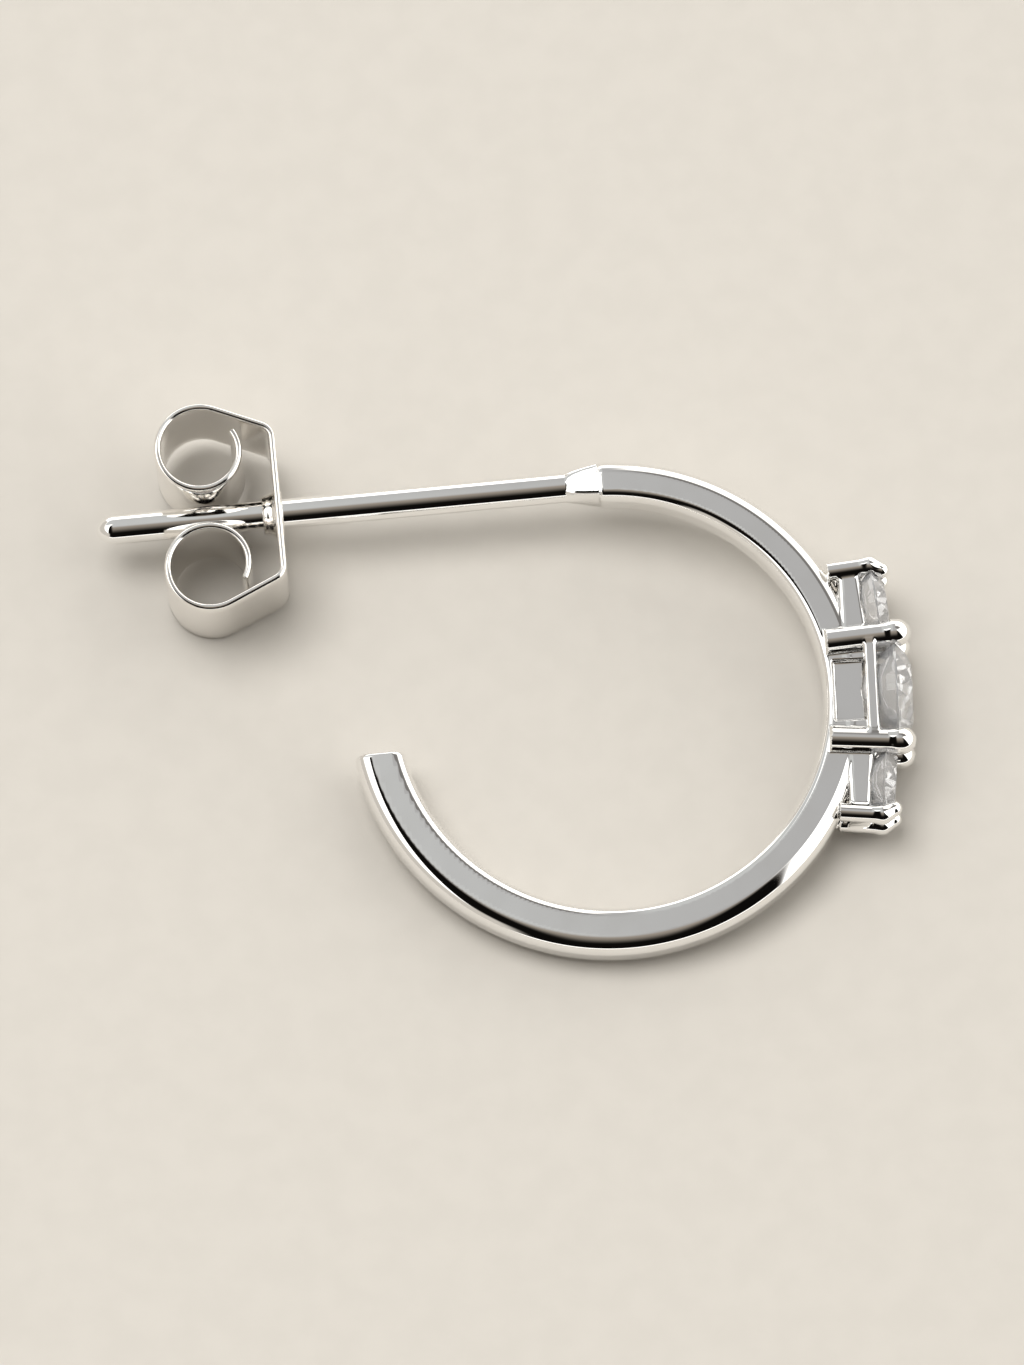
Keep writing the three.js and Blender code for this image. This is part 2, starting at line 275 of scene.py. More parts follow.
@dataclass(frozen=True)
class Silver(Finish):
    """Polished silver: a near mirror with faint polishing ripples, haze, hairlines and tarnish, and painted
    shade in crevices.

    Scales are waves per millimetre, and what the ripples, grain and hairlines add to the height
    is in shares of the relief.
    """

    bright: Colour
    # the colour of tarnish, and of the painted shade in crevices
    dull: Colour
    roughness: float
    haze: float
    ripple: float
    ripple_scale: float
    scratch: float
    relief: float = 0.004
    cloud_scale: float = 0.9
    grain_scale: float = 9.0
    grain: float = 0.012
    cloud_tarnish: float = 0.35
    cloud_rise: Flat = (0.45, 0.8)
    # painted shade: how far, and over what shelter, the colour goes towards dull in crevices
    painted_crevice_shade: float = 0.65
    painted_shade_rise: Flat = (0.2, 0.9)
    hair_turn: Point = (0.2, 0.4, 0.7)
    hair_scale: Point = (0.8, 34.0, 21.0)
    hair_rise: Flat = (0.66, 0.74)
    hair_haze: float = 0.04
    hair_height: float = 0.02

    def surface(self, recipe: Recipe, place: bpy.types.NodeSocket) -> dict[str, Any]:
        """Works out the silver.

        Args:
            recipe: the material's tree.
            place: where on the object, in millimetres.

        Returns:
            What goes into each input of the shader that the finish sets.
        """
        cloud = recipe.noise(place, self.cloud_scale, 3.0)
        fine = recipe.noise(place, self.grain_scale, 2.0)
        lines = {"Vector": place, "Rotation": self.hair_turn, "Scale": self.hair_scale}
        drawn = recipe.node("ShaderNodeMapping", None, lines).outputs[0]
        hair = recipe.noise(drawn, 1.0, 2.0).step(*self.hair_rise)
        shelter = recipe.node("ShaderNodeAttribute", {"attribute_name": SHELTER}).outputs["Fac"]
        # painted shade: the colour darkens towards dull where the shelter attribute says the point is hidden
        # in a crevice
        crevice_shade_mask = Value(recipe, shelter).step(*self.painted_shade_rise) * self.painted_crevice_shade
        # random tarnish clouds, which are real, plus the painted crevice shade
        tarnish_and_shade = (cloud.step(*self.cloud_rise) * self.cloud_tarnish + crevice_shade_mask).clamped()
        roughness = fine * self.haze + tarnish_and_shade * self.haze + hair * self.hair_haze + self.roughness
        waves = recipe.noise(place, self.ripple_scale, 1.0)
        height = waves * self.ripple + fine * (self.grain * self.ripple)
        height = height + hair * (self.hair_height * self.scratch)
        relief = {"Strength": 1.0, "Distance": self.relief * MM, "Height": height}
        return {
            "Base Color": recipe.mix(tarnish_and_shade, self.bright, self.dull),
            "Metallic": 1.0,
            "Roughness": roughness.clamped(),
            "Normal": recipe.node("ShaderNodeBump", None, relief).outputs["Normal"],
        }


@dataclass(frozen=True)
class Crystal(Finish):
    """A clear cut stone: strongly refracting, with faint dust and finger haze."""

    clear: Colour = (0.99, 0.99, 1.0)
    dusty: Colour = (0.93, 0.93, 0.94)
    dust_scale: float = 2.5
    dust_rise: Flat = (0.5, 0.85)
    haze: float = 0.03
    refraction: float = 2.1
    passes: float = 0.8

    def surface(self, recipe: Recipe, place: bpy.types.NodeSocket) -> dict[str, Any]:
        """Works out a stone with a film of dust on it.

        Args:
            recipe: the material's tree.
            place: where on the object, in millimetres.

        Returns:
            What goes into each input of the shader that the finish sets.
        """
        dust = recipe.noise(place, self.dust_scale, 3.0).step(*self.dust_rise)
        return {
            "Base Color": recipe.mix(dust, self.clear, self.dusty),
            "Roughness": dust * self.haze,
            "IOR": self.refraction,
            "Transmission Weight": self.passes,
        }


@dataclass(frozen=True)
class Paper(Finish):
    """The plain pale floor, a little uneven in tone."""

    low: Colour = (0.5, 0.47, 0.425)
    high: Colour = (0.515, 0.484, 0.438)
    tone_scale: float = 1.2
    tone_rise: Flat = (0.3, 0.7)
    roughness: float = 0.9
    shine: float = 0.2

    def surface(self, recipe: Recipe, place: bpy.types.NodeSocket) -> dict[str, Any]:
        """Works out the floor.

        Args:
            recipe: the material's tree.
            place: where on the object, in millimetres.

        Returns:
            What goes into each input of the shader that the finish sets.
        """
        tone = recipe.noise(place, self.tone_scale, 4.0).step(*self.tone_rise)
        return {
            "Base Color": recipe.mix(tone, self.low, self.high),
            "Roughness": self.roughness,
            "Specular IOR Level": self.shine,
        }


MIRROR_POLISH = Silver(
    name="mirror_silver",
    slot=Slot.SILVER,
    bright=(0.955, 0.95, 0.94),
    dull=(0.86, 0.845, 0.82),
    roughness=0.018,
    haze=0.03,
    ripple=0.35,
    ripple_scale=1.1,
    scratch=0.05,
)
ROLLED_SHEET = Silver(
    name="rolled_silver_sheet",
    slot=Slot.BACK_SILVER,
    bright=(0.95, 0.93, 0.9),
    dull=(0.85, 0.81, 0.75),
    roughness=0.07,
    haze=0.08,
    ripple=0.8,
    ripple_scale=1.6,
    scratch=0.25,
)
CLEAR_STONE = Crystal("clear_brilliant", Slot.CRYSTAL)
PALE_FLOOR = Paper("pale_floor", None)


# ---------------------------------------------------------------- meshes


def new_object(name: str, mesh: bpy.types.Mesh) -> bpy.types.Object:
    """Puts a mesh into the scene.

    Args:
        name: the new object's name.
        mesh: its mesh, already in place.

    Returns:
        The object.
    """
    made = bpy.data.objects.new(name, mesh)
    bpy.context.scene.collection.objects.link(made)
    return made


def finish_piece(piece: bpy.types.Object, finish: Finish, body: Body, node: str) -> None:
    """Gives a piece its finish and ties it to the frame.

    Args:
        piece: the new object.
        finish: its finish.
        body: the body that it rides on.
        node: the CAD node that it stands for.
    """
    piece.data.materials.clear()
    piece.data.materials.append(finish.material())
    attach(piece, body.value)
    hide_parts(node)


def mesh_of(name: str, work: bmesh.types.BMesh) -> bpy.types.Mesh:
    """Turns work in progress into a mesh, and frees it.

    Args:
        name: the new mesh's name.
        work: the vertices, edges and faces.

    Returns:
        The mesh.
    """
    made = bpy.data.meshes.new(name)
    work.to_mesh(made)
    work.free()
    return made


class Shell:
    """A closed mesh made of rings of points, in the earring's own millimetres."""

    def __init__(self) -> None:
        """Starts empty."""
        self.points: list[Point] = []
        self.faces: list[tuple[int, ...]] = []

    def ring(self, points: Iterable[Sequence[float]]) -> list[int]:
        """Adds a ring of points.

        Args:
            points: the ring, in order.

        Returns:
            Their numbers.
        """
        start = len(self.points)
        self.points.extend(tuple(p) for p in points)
        return list(range(start, len(self.points)))

    def bridge(self, low: Sequence[int], high: Sequence[int]) -> None:
        """Joins two closed rings of the same length by quads.

        Args:
            low: the first ring.
            high: the next ring.
        """
        count = len(low)
        for i in range(count):
            j = (i + 1) % count
            self.faces.append((low[i], low[j], high[j], high[i]))

    def cap(self, ring: Sequence[int], turned: bool) -> None:
        """Closes a ring by a fan from its middle.

        Args:
            ring: the ring.
            turned: whether the fan faces back along the sweep.
        """
        middle = np.mean([self.points[i] for i in ring], axis=0)
        centre = self.ring([tuple(middle)])[0]
        count = len(ring)
        for i in range(count):
            pair = (ring[i], ring[(i + 1) % count])
            self.faces.append((centre, *(reversed(pair) if turned else pair)))

    def tube(self, rings: Sequence[Sequence[Sequence[float]]], capped: bool = True) -> None:
        """Adds a sweep of closed rings.

        Args:
            rings: the rings, in order along the sweep.
            capped: closes both ends; otherwise the last ring is joined to the first.
        """
        made = [self.ring(r) for r in rings]
        for low, high in zip(made, made[1:]):
            self.bridge(low, high)
        if capped:
            self.cap(made[0], turned=True)
            self.cap(made[-1], turned=False)
        else:
            self.bridge(made[-1], made[0])

    def mesh(self, name: str) -> bpy.types.Mesh:
        """Makes the mesh, in millimetres, with its faces turned outwards.

        Args:
            name: the mesh's name.

        Returns:
            The mesh.
        """
        made = bpy.data.meshes.new(name)
        made.from_pydata(self.points, [], self.faces)
        work = bmesh.new()
        work.from_mesh(made)
        bmesh.ops.recalc_face_normals(work, faces=work.faces)
        for face in work.faces:
            face.smooth = True
        work.to_mesh(made)
        work.free()
        return made


# ---------------------------------------------------------------- solids as fields


def soft_union(a: np.ndarray, b: np.ndarray, fillet: float) -> np.ndarray:
    """Returns the distances to two solids joined with a solder fillet of that reach."""
    near = np.maximum(fillet - np.abs(a - b), 0.0) / fillet
    return np.minimum(a, b) - near * near * (fillet / 4)


def soft_common(a: np.ndarray, b: np.ndarray, edge: float) -> np.ndarray:
    """Returns the distances to what two solids share, with an edge rounded over that reach."""
    return -soft_union(-a, -b, edge)


def rounded_block(place: Grid, low: Point, high: Point, radius: float) -> np.ndarray:
    """Distances to a block with rounded edges.

    Args:
        place: the points.
        low: its lowest corner.
        high: its highest corner.
        radius: of its edges.

    Returns:
        The distances.
    """
    over = [np.abs(p - (l + h) / 2) - ((h - l) / 2 - radius) for p, l, h in zip(place, low, high)]
    outside = np.sqrt(sum(np.maximum(o, 0.0) ** 2 for o in over))
    inside = np.minimum(np.maximum(np.maximum(over[0], over[1]), over[2]), 0.0)
    return outside + inside - radius


def tapered_rod(place: Grid, start: Point, end: Point, start_radius: float, end_radius: float) -> np.ndarray:
    """Distances to a rod with domed ends.

    Args:
        place: the points.
        start: the centre of its first dome.
        end: the centre of its last dome.
        start_radius: its radius at the start.
        end_radius: its radius at the end.

    Returns:
        The distances.
    """
    axis = np.subtract(end, start)
    length = float(np.dot(axis, axis))
    along = sum((p - s) * a for p, s, a in zip(place, start, axis)) / length
    along = np.clip(along, 0.0, 1.0)
    gap = np.sqrt(sum((p - s - along * a) ** 2 for p, s, a in zip(place, start, axis)))
    return gap - (start_radius + (end_radius - start_radius) * along)


def turned_by(place: Grid, degrees: float, foot: Flat = (0.0, 0.0)) -> Grid:
    """Reads points in a frame turned about Z.

    Args:
        place: the points.
        degrees: the frame's turn.
        foot: the frame's origin.

    Returns:
        The points in the turned frame.
    """
    cosine, sine = math.cos(math.radians(degrees)), math.sin(math.radians(degrees))
    x, y = place[0] - foot[0], place[1] - foot[1]
    return x * cosine + y * sine, y * cosine - x * sine, place[2]


@dataclass(frozen=True)
class GridStretch:
    """A stretch of one axis and how finely it is divided."""

    start: float
    end: float
    step: float


class Skin:
    """Lays a closed mesh over a solid that is given by its distances."""

    NEWTON_STEPS = 4
    SHELTER_REACHES = (0.1, 0.22, 0.45)
    SLOPE_STEP = 0.002

    def __init__(self, solid: Callable[[Grid], np.ndarray], axes: Sequence[Sequence[GridStretch]]) -> None:
        """Takes the distances from points to the solid, and the grid's stretches of X, Y and Z."""
        self.solid = solid
        self.axes = [self._axis(stretches) for stretches in axes]

    def _axis(self, stretches: Sequence[GridStretch]) -> np.ndarray:
        """Divides one axis.

        Args:
            stretches: its stretches, in order.

        Returns:
            The grid's positions along it.
        """
        parts = []
        for s in stretches:
            count = max(1, round((s.end - s.start) / s.step))
            parts.append(np.linspace(s.start, s.end, count + 1)[:-1])
        return np.concatenate([*parts, [stretches[-1].end]])

    def mesh(self, name: str, placement: Placement) -> bpy.types.Mesh:
        """Makes the mesh in place, with the solid's own slopes as its normals.

        Args:
            name: the mesh's name.
            placement: how the own frame lies in the row frame.

        Returns:
            The mesh.
        """
        points, quads = self._net()
        points = self._settle(points)
        slopes = self._slopes(points)
        turn = np.array(placement.turn())
        row = (points @ turn.T + np.array(placement.origin)) * MM
        made = bpy.data.meshes.new(name)
        made.from_pydata(row.tolist(), [], quads.tolist())
        made.polygons.foreach_set("use_smooth", np.ones(len(made.polygons), dtype=bool))
        made.normals_split_custom_set_from_vertices((slopes @ turn.T).tolist())
        # the shelter attribute, from which the silver paints shade into crevices
        shelter = made.attributes.new(SHELTER, "FLOAT", "POINT")
        shelter.data.foreach_set("value", self._shelter(points, slopes).astype(np.float32))
        made.update()
        return made

    def _shelter(self, points: np.ndarray, slopes: np.ndarray) -> np.ndarray:
        """Returns how far each point is hidden: 0 in the open, rising to 1 in a tight corner."""
        open_ = [self.solid(tuple((points + slopes * reach).T)) / reach for reach in self.SHELTER_REACHES]
        return 1 - np.clip(np.mean(open_, axis=0), 0.0, 1.0)

    def _net(self) -> tuple[np.ndarray, np.ndarray]:
        """Lays the net.

        Returns:
            One point in each cell that the surface crosses, and the quads between them.
        """
        xs, ys, zs = self.axes
        place = np.meshgrid(xs, ys, zs, indexing="ij")
        depth = self.solid(tuple(place))
        inside = depth < 0
        cells = tuple(n - 1 for n in inside.shape)
        total = np.zeros(cells, dtype=np.int8)
        corners = [(i, j, k) for i in (0, 1) for j in (0, 1) for k in (0, 1)]
        for i, j, k in corners:
            total += inside[i : cells[0] + i, j : cells[1] + j, k : cells[2] + k]
        crossed = np.nonzero((total > 0) & (total < 8))
        number = np.full(cells, -1, dtype=np.int64)
        number[crossed] = np.arange(len(crossed[0]))
        return self._cell_points(depth, crossed), self._quads(inside, number)

    def _cell_points(self, depth: np.ndarray, crossed: tuple[np.ndarray, ...]) -> np.ndarray:
        """Averages the places where the surface cuts the edges of each cell.

        Args:
            depth: the distances on the grid.
            crossed: the cells that the surface crosses.

        Returns:
            One point for each cell.
        """
        total = np.zeros((len(crossed[0]), 3))
        count = np.zeros(len(crossed[0]))
        for axis in range(3):
            others = [a for a in range(3) if a != axis]
            for first in (0, 1):
                for second in (0, 1):
                    low = [c.copy() for c in crossed]
                    low[others[0]] += first
                    low[others[1]] += second
                    high = [c.copy() for c in low]
                    high[axis] += 1
                    a, b = depth[tuple(low)], depth[tuple(high)]
                    cut = (a < 0) != (b < 0)
                    share = np.where(cut, a / np.where(cut, a - b, 1.0), 0.0)
                    for k in range(3):
                        start, end = self.axes[k][low[k]], self.axes[k][high[k]]
                        total[:, k] += np.where(cut, start + share * (end - start), 0.0)
                    count += cut
        return total / count[:, None]

    def _quads(self, inside: np.ndarray, number: np.ndarray) -> np.ndarray:
        """Joins the four cells round each grid edge that the surface cuts.

        Args:
            inside: which grid points are inside the solid.
            number: the number of each crossed cell's point.

        Returns:
            The quads, facing outwards.
        """
        made = []
        for axis in range(3):
            u, v = (axis + 1) % 3, (axis + 2) % 3
            grid = np.moveaxis(inside, (axis, u, v), (0, 1, 2))
            cell = np.moveaxis(number, (axis, u, v), (0, 1, 2))
            here, there = grid[:-1, 1:-1, 1:-1], grid[1:, 1:-1, 1:-1]
            for out in (True, False):
                i, j, k = np.nonzero((here & ~there) if out else (there & ~here))
                corners = [cell[i, j, k], cell[i, j + 1, k], cell[i, j + 1, k + 1], cell[i, j, k + 1]]
                if not out:
                    corners.reverse()
                made.append(np.stack(corners, axis=1))
        return np.concatenate(made)

    def _slopes(self, points: np.ndarray) -> np.ndarray:
        """Finds which way the surface faces.

        Args:
            points: points near it.

        Returns:
            The unit direction in which the distance grows at each.
        """
        slopes = np.empty_like(points)
        for k in range(3):
            step = np.zeros(3)
            step[k] = self.SLOPE_STEP
            ahead, behind = points + step, points - step
            slopes[:, k] = self.solid(tuple(ahead.T)) - self.solid(tuple(behind.T))
        return slopes / np.maximum(np.linalg.norm(slopes, axis=1, keepdims=True), 1e-12)

    def _settle(self, points: np.ndarray) -> np.ndarray:
        """Moves the points onto the surface itself.

        Args:
            points: points within a cell of it.

        Returns:
            The settled points.
        """
        reach = min(float(np.diff(a).min()) for a in self.axes) / 2
        for _ in range(self.NEWTON_STEPS):
            depth = np.clip(self.solid(tuple(points.T)), -reach, reach)
            points = points - self._slopes(points) * depth[:, None]
        return points


# ---------------------------------------------------------------- the soldered hoop


@dataclass(frozen=True)
class Corner:
    """A rounded corner of the band, between its flat side and its face."""

    across: float
    down: float

    def depth(self, out: np.ndarray, up: np.ndarray) -> np.ndarray:
        """Distances to the corner's curve.

        Args:
            out: how far past the end of the flat side, towards the face.
            up: how far past the end of the face, towards the side.

        Returns:
            The distances where both are positive.
        """
        u, v = np.maximum(out, 0.0) / self.across, np.maximum(up, 0.0) / self.down
        level = np.sqrt(u * u + v * v)
        slope = np.sqrt((u / self.across) ** 2 + (v / self.down) ** 2) / np.maximum(level, 1e-9)
        return (level - 1) / np.maximum(slope, 1.0)


@dataclass(frozen=True)
class Band:
    """The C-shaped band, deepest at its free end and thinner towards the post."""

    radius: float = 6.14
    depth: float = 1.18
    taper: float = 0.22
    width: float = 1.16
    outer: Corner = Corner(0.42, 0.4)
    inner: Corner = Corner(0.28, 0.32)
    starts_at: float = 88.0  # the post's end and the free end, in degrees
    ends_at: float = -175.0
    start_x: float = 0.2  # the cuts that leave the mouth open
    end_y: float = -0.7
    end_edge: float = 0.12

    def depth_share(self, x: np.ndarray, y: np.ndarray) -> np.ndarray:
        """Works out how deep the band is.

        Args:
            x: the points' x.
            y: the points' y.

        Returns:
            Its depth at each point's angle, as a share of its depth at the free end.
        """
        length = self.starts_at - self.ends_at
        mouth = (360 - length) / 2
        along = np.mod(self.starts_at + mouth - np.degrees(np.arctan2(y, x)), 360.0) - mouth
        return 1 - self.taper / self.depth * (1 - np.clip(along / length, 0.0, 1.0))

    def solid(self, place: Grid) -> np.ndarray:
        """Distances to the band.

        Args:
            place: the points in the hoop's frame.

        Returns:
            The distances.
        """
        x, y, z = place
        face = self.radius - self.depth
        radius = face + (np.sqrt(x * x + y * y) - face) / self.depth_share(x, y)
        height = np.abs(z)
        half = self.width / 2
        sides = []
        for corner, out in (
            (self.outer, radius - (self.radius - self.outer.across)),
            (self.inner, (face + self.inner.across) - radius),
        ):
            up = height - (half - corner.down)
            flat = out - corner.across
            curve = corner.depth(out, up)
            sides.append(np.where(out < 0, height - half, np.where(up < 0, flat, curve)))
        ring = np.maximum(sides[0], sides[1])
        mouth = np.maximum(x - self.start_x, self.end_y - y)
        return soft_common(ring, -mouth, self.end_edge)


@dataclass(frozen=True)
class Post:
    """The ear post and the cup of solder that flares from it into the band's end."""

    radius: float = 0.35
    y: float = 5.47
    tip_x: float = -11.64
    cup_x: float = -0.57
    cup_end_x: float = 0.22
    cup_rise: float = -0.02
    cup_half_depth: Flat = (0.36, 0.43)  # at its start and at its end, as the next two are
    cup_half_width: Flat = (0.38, 1.2)
    cup_flat: Flat = (0.345, 0.565)
    cup_flat_lean: float = 0.96  # cosine of the lean of its two flats
    cup_edge: float = 0.08
    root_x: float = 0.6
    bevel_start: float = 0.24  # from the tip to the point that the bevel would have
    bevel_angle: float = 36.0
    bevel_edge: float = 0.12
    fillet: float = 0.02

    def solid(self, place: Grid) -> np.ndarray:
        """Distances to the post and its cup.

        Args:
            place: the points in the hoop's frame.

        Returns:
            The distances.
        """
        start, end = (self.tip_x + self.radius, self.y, 0.0), (self.root_x, self.y, 0.0)
        rod = tapered_rod(place, start, end, self.radius, self.radius)
        x, y, z = place
        bevel = math.radians(self.bevel_angle)
        point = np.sqrt((y - self.y) ** 2 + z * z) * math.cos(bevel)
        point = point - (x - self.tip_x + self.bevel_start) * math.sin(bevel)
        rod = soft_common(rod, point, self.bevel_edge)
        share = np.clip((x - self.cup_x) / (self.cup_end_x - self.cup_x), 0.0, 1.0)
        sizes = (self.cup_half_depth, self.cup_half_width, self.cup_flat)
        deep, wide, flat = (low + (high - low) * share for low, high in sizes)
        across = y - self.y - self.cup_rise * share
        flare = (np.sqrt((across / deep) ** 2 + (z / wide) ** 2) - 1) * deep
        cup = soft_common(flare, (np.abs(z) - flat) * self.cup_flat_lean, self.cup_edge)
        ends = np.maximum(self.cup_x - x, x - self.cup_end_x)
        cup = np.where(x < self.cup_x, rod, np.maximum(cup, ends))
        return soft_union(rod, cup, self.fillet)


@dataclass(frozen=True)
class Prong:
    """A pair of prongs on each side of the head; a claw, if any, turns back in from the knee."""

    y: float
    z: float
    radius: float
    base: float
    length: float
    fan: float
    bead: float
    bead_from: float = 0.12  # the bead's middle starts and ends this far before the knee
    bead_to: float = 0.06
    bead_fillet: float = 0.06
    foot_edge: float = 0.05
    claw: float = 0.0
    claw_turn: float = 30.0
    claw_tip: float = 0.19
    claw_fillet: float = 0.12

    def solid(self, place: Grid, side: int) -> np.ndarray:
        """Distances to the two prongs above and below the middle plane.

        Args:
            place: the points in the head's frame.
            side: 1 towards the post and -1 away from it.

        Returns:
            The distances.
        """
        x, y, z = turned_by(place, side * self.fan, (self.base, side * self.y))
        local = (x, y, np.abs(z) - self.z)
        knee = self.length - self.radius
        rod = tapered_rod(local, (self.radius, 0, 0), (knee, 0, 0), self.radius, self.radius)
        foot = np.maximum(np.sqrt(local[1] ** 2 + local[2] ** 2) - self.radius, -x)
        shank = np.minimum(rod, soft_common(foot, x - knee, self.foot_edge))
        if self.bead > self.radius:
            low, high = (knee - self.bead_from, 0, 0), (knee - self.bead_to, 0, 0)
            shank = soft_union(shank, tapered_rod(local, low, high, self.bead, self.bead), self.bead_fillet)
        if not self.claw:
            return shank
        turn = -side * math.radians(self.claw_turn)
        tip = (knee + self.claw * math.cos(turn), self.claw * math.sin(turn), 0.0)
        claw = tapered_rod(local, (knee, 0, 0), tip, self.radius, self.claw_tip)
        return soft_union(shank, claw, self.claw_fillet)


@dataclass(frozen=True)
class StonePlace:
    """Where a brilliant sits on the head: its girdle's centre, radius and fan."""

    name: str
    node: str
    radius: float
    x: float
    y: float
    fan: float


CENTRE = StonePlace("centre_brilliant", "centre_stone", 1.25, 6.65, 0.0, 0.0)
UPPER_SIDE = StonePlace("upper_side_brilliant", "upper_side_stone", 0.87, 6.28, 2.2, 6.0)
LOWER_SIDE = StonePlace("lower_side_brilliant", "lower_side_stone", 0.87, 6.28, -2.2, -6.0)
STONES = (CENTRE, UPPER_SIDE, LOWER_SIDE)


@dataclass(frozen=True)
class Head:
    """The claw head: a gallery with a recess in each side, two rails, and prongs on both its sides."""

    turn: float = -2.8
    half_length: float = 3.08
    underside_x: float = 5.42
    top_x: float = 6.12
    fan: float = 6.0
    half_width: float = 0.58
    edge: float = 0.14
    end_edge: float = 0.1
    recess_inner_x: float = 5.2
    recess_outer_x: float = 5.94
    recess_half: float = 0.72
    recess_floor: float = 0.45
    recess_edge: float = 0.06
    recess_corner: float = 0.05
    well_depth: float = 0.04  # how far the well between the rails goes past them
    beyond: float = 3.0  # past everything, out to the side
    rail_depth: float = 0.3
    rail_in: float = 0.56
    rail_out: float = 0.9
    rail_edge: float = 0.08
    shared: Prong = Prong(y=1.18, z=0.64, radius=0.3, base=5.08, length=1.99, fan=4.5, bead=0.33)
    end: Prong = Prong(y=2.92, z=0.46, radius=0.22, base=5.2, length=1.22, fan=6.0, bead=0.0, claw=0.3)
    fillet: float = 0.07
    gallery_fillet: float = 0.03
    rail_fillet: float = 0.04
    seat_clearance: float = 1.03
    seat_slopes: Flat = (34.5, 41.0)  # of the crown and of the pavilion
    seat_girdle: float = 0.03
    seat_edge: float = 0.03

    def gallery(self, place: Grid) -> np.ndarray:
        """Distances to the solid gallery, whose outer face falls away to its ends.

        Args:
            place: the points in the head's frame.

        Returns:
            The distances.
        """
        x, y, z = place
        lean = math.radians(self.fan)
        slope = (x - self.top_x) * math.cos(lean) + (np.abs(y) - self.shared.y) * math.sin(lean)
        ends = np.maximum(np.abs(y) - self.half_length, self.underside_x - x)
        side = soft_common(np.maximum(x - self.top_x, slope), ends, self.end_edge)
        return soft_common(side, np.abs(z) - self.half_width, self.edge)

    def rails(self, place: Grid) -> np.ndarray:
        """Distances to the rails that carry the centre stone over the recesses.

        Args:
            place: the points in the head's frame.

        Returns:
            The distances.
        """
        x, y, z = place
        low = (self.recess_outer_x, -self.shared.y, self.rail_in)
        high = (self.recess_outer_x + self.rail_depth, self.shared.y, self.rail_out)
        return rounded_block((x, y, np.abs(z)), low, high, self.rail_edge)

    def recess(self, place: Grid) -> np.ndarray:
        """Distances to the blind recess in each side, and to the well between the rails.

        Args:
            place: the points in the head's frame.

        Returns:
            The distances.
        """
        x, y, z = place
        low = (self.recess_inner_x, -self.recess_half, self.recess_floor)
        high = (self.recess_outer_x, self.recess_half, self.beyond)
        recess = rounded_block((x, y, np.abs(z)), low, high, self.recess_corner)
        low = (self.recess_outer_x - self.well_depth, -self.recess_half, -self.rail_in)
        high = (self.top_x + 1, self.recess_half, self.rail_in)
        return np.minimum(recess, rounded_block(place, low, high, self.recess_corner))

    def seat(self, place: Grid, stone: StonePlace) -> np.ndarray:
        """Distances to the space that a stone needs: two cones, girdle to girdle.

        Args:
            place: the points in the head's frame.
            stone: the stone.

        Returns:
            The distances.
        """
        x, y, z = turned_by(place, stone.fan, (stone.x, stone.y))
        across = np.sqrt(y * y + z * z)
        radius = stone.radius * self.seat_clearance
        gap = across - radius
        for slope, up in zip(self.seat_slopes, (x, -x)):
            angle = math.radians(slope)
            cone = (across - radius) * math.sin(angle) + (up - self.seat_girdle * radius) * math.cos(angle)
            gap = np.maximum(gap, cone)
        return gap

    def solid(self, place: Grid, band: np.ndarray) -> np.ndarray:
        """Joins the head to the band and cuts its recesses and seats.

        Args:
            place: the points in the hoop's frame.
            band: distances to the band.

        Returns:
            Distances to the band with its head.
        """
        local = turned_by(place, self.turn)
        metal = soft_union(band, self.gallery(local), self.gallery_fillet)
        metal = soft_union(metal, self.rails(local), self.rail_fillet)
        metal = soft_common(metal, -self.recess(local), self.recess_edge)
        for prong in (self.shared, self.end):
            for side in (1, -1):
                metal = soft_union(metal, prong.solid(local, side), self.fillet)
        for stone in STONES:
            metal = soft_common(metal, -self.seat(local, stone), self.seat_edge)
        return metal


@dataclass
class SolderedHoop:
    """Band, post and head: one piece of polished silver."""

    band: Band = Band()
    post: Post = Post()
    head: Head = Head()
    head_from_x: float = 4.4
    post_to_x: float = 1.0
    post_fillet: float = 0.03
    buffed_off: float = 0.004
    grid_x: tuple[GridStretch, ...] = (
        GridStretch(-11.8, -11.0, 0.038),
        GridStretch(-11.0, -0.75, 0.1),
        GridStretch(-0.75, 0.5, 0.038),
        GridStretch(0.5, 4.6, 0.065),
        GridStretch(4.6, 7.5, 0.035),
    )
    grid_y: tuple[GridStretch, ...] = (
        GridStretch(-6.25, -3.8, 0.055),
        GridStretch(-3.8, 3.4, 0.039),
        GridStretch(3.4, 6.25, 0.048),
    )
    grid_z: tuple[GridStretch, ...] = (GridStretch(-1.05, 1.05, 0.039),)
    pieces: list[bpy.types.Object] = field(default_factory=list)

    def solid(self, place: Grid) -> np.ndarray:
        """Distances to the whole metal, less what buffing takes off.

        Args:
            place: the points in the hoop's frame.

        Returns:
            The distances.
        """
        made = self.band.solid(place)
        near = place[0] < self.post_to_x
        local = tuple(p[near] for p in place)
        made[near] = soft_union(made[near], self.post.solid(local), self.post_fillet)
        near = place[0] > self.head_from_x
        local = tuple(p[near] for p in place)
        made[near] = self.head.solid(local, made[near])
        return made + self.buffed_off

    def build(self) -> "SolderedHoop":
        """Makes the mesh.

        Returns:
            The hoop.
        """
        axes = (self.grid_x, self.grid_y, self.grid_z)
        mesh = Skin(self.solid, axes).mesh("hoop_metal", PLACEMENT)
        self.pieces = [new_object("hoop_metal", mesh)]
        return self

    def dress(self) -> None:
        """Polishes the hoop and ties it to its body."""
        finish_piece(self.pieces[0], MIRROR_POLISH, Body.EARRING, "hoop")


# ---------------------------------------------------------------- the stones


@dataclass(frozen=True)
class FacetFamily:
    """Facets of one slope round a stone."""

    count: int
    slope: float
    reach: float
    turn: float


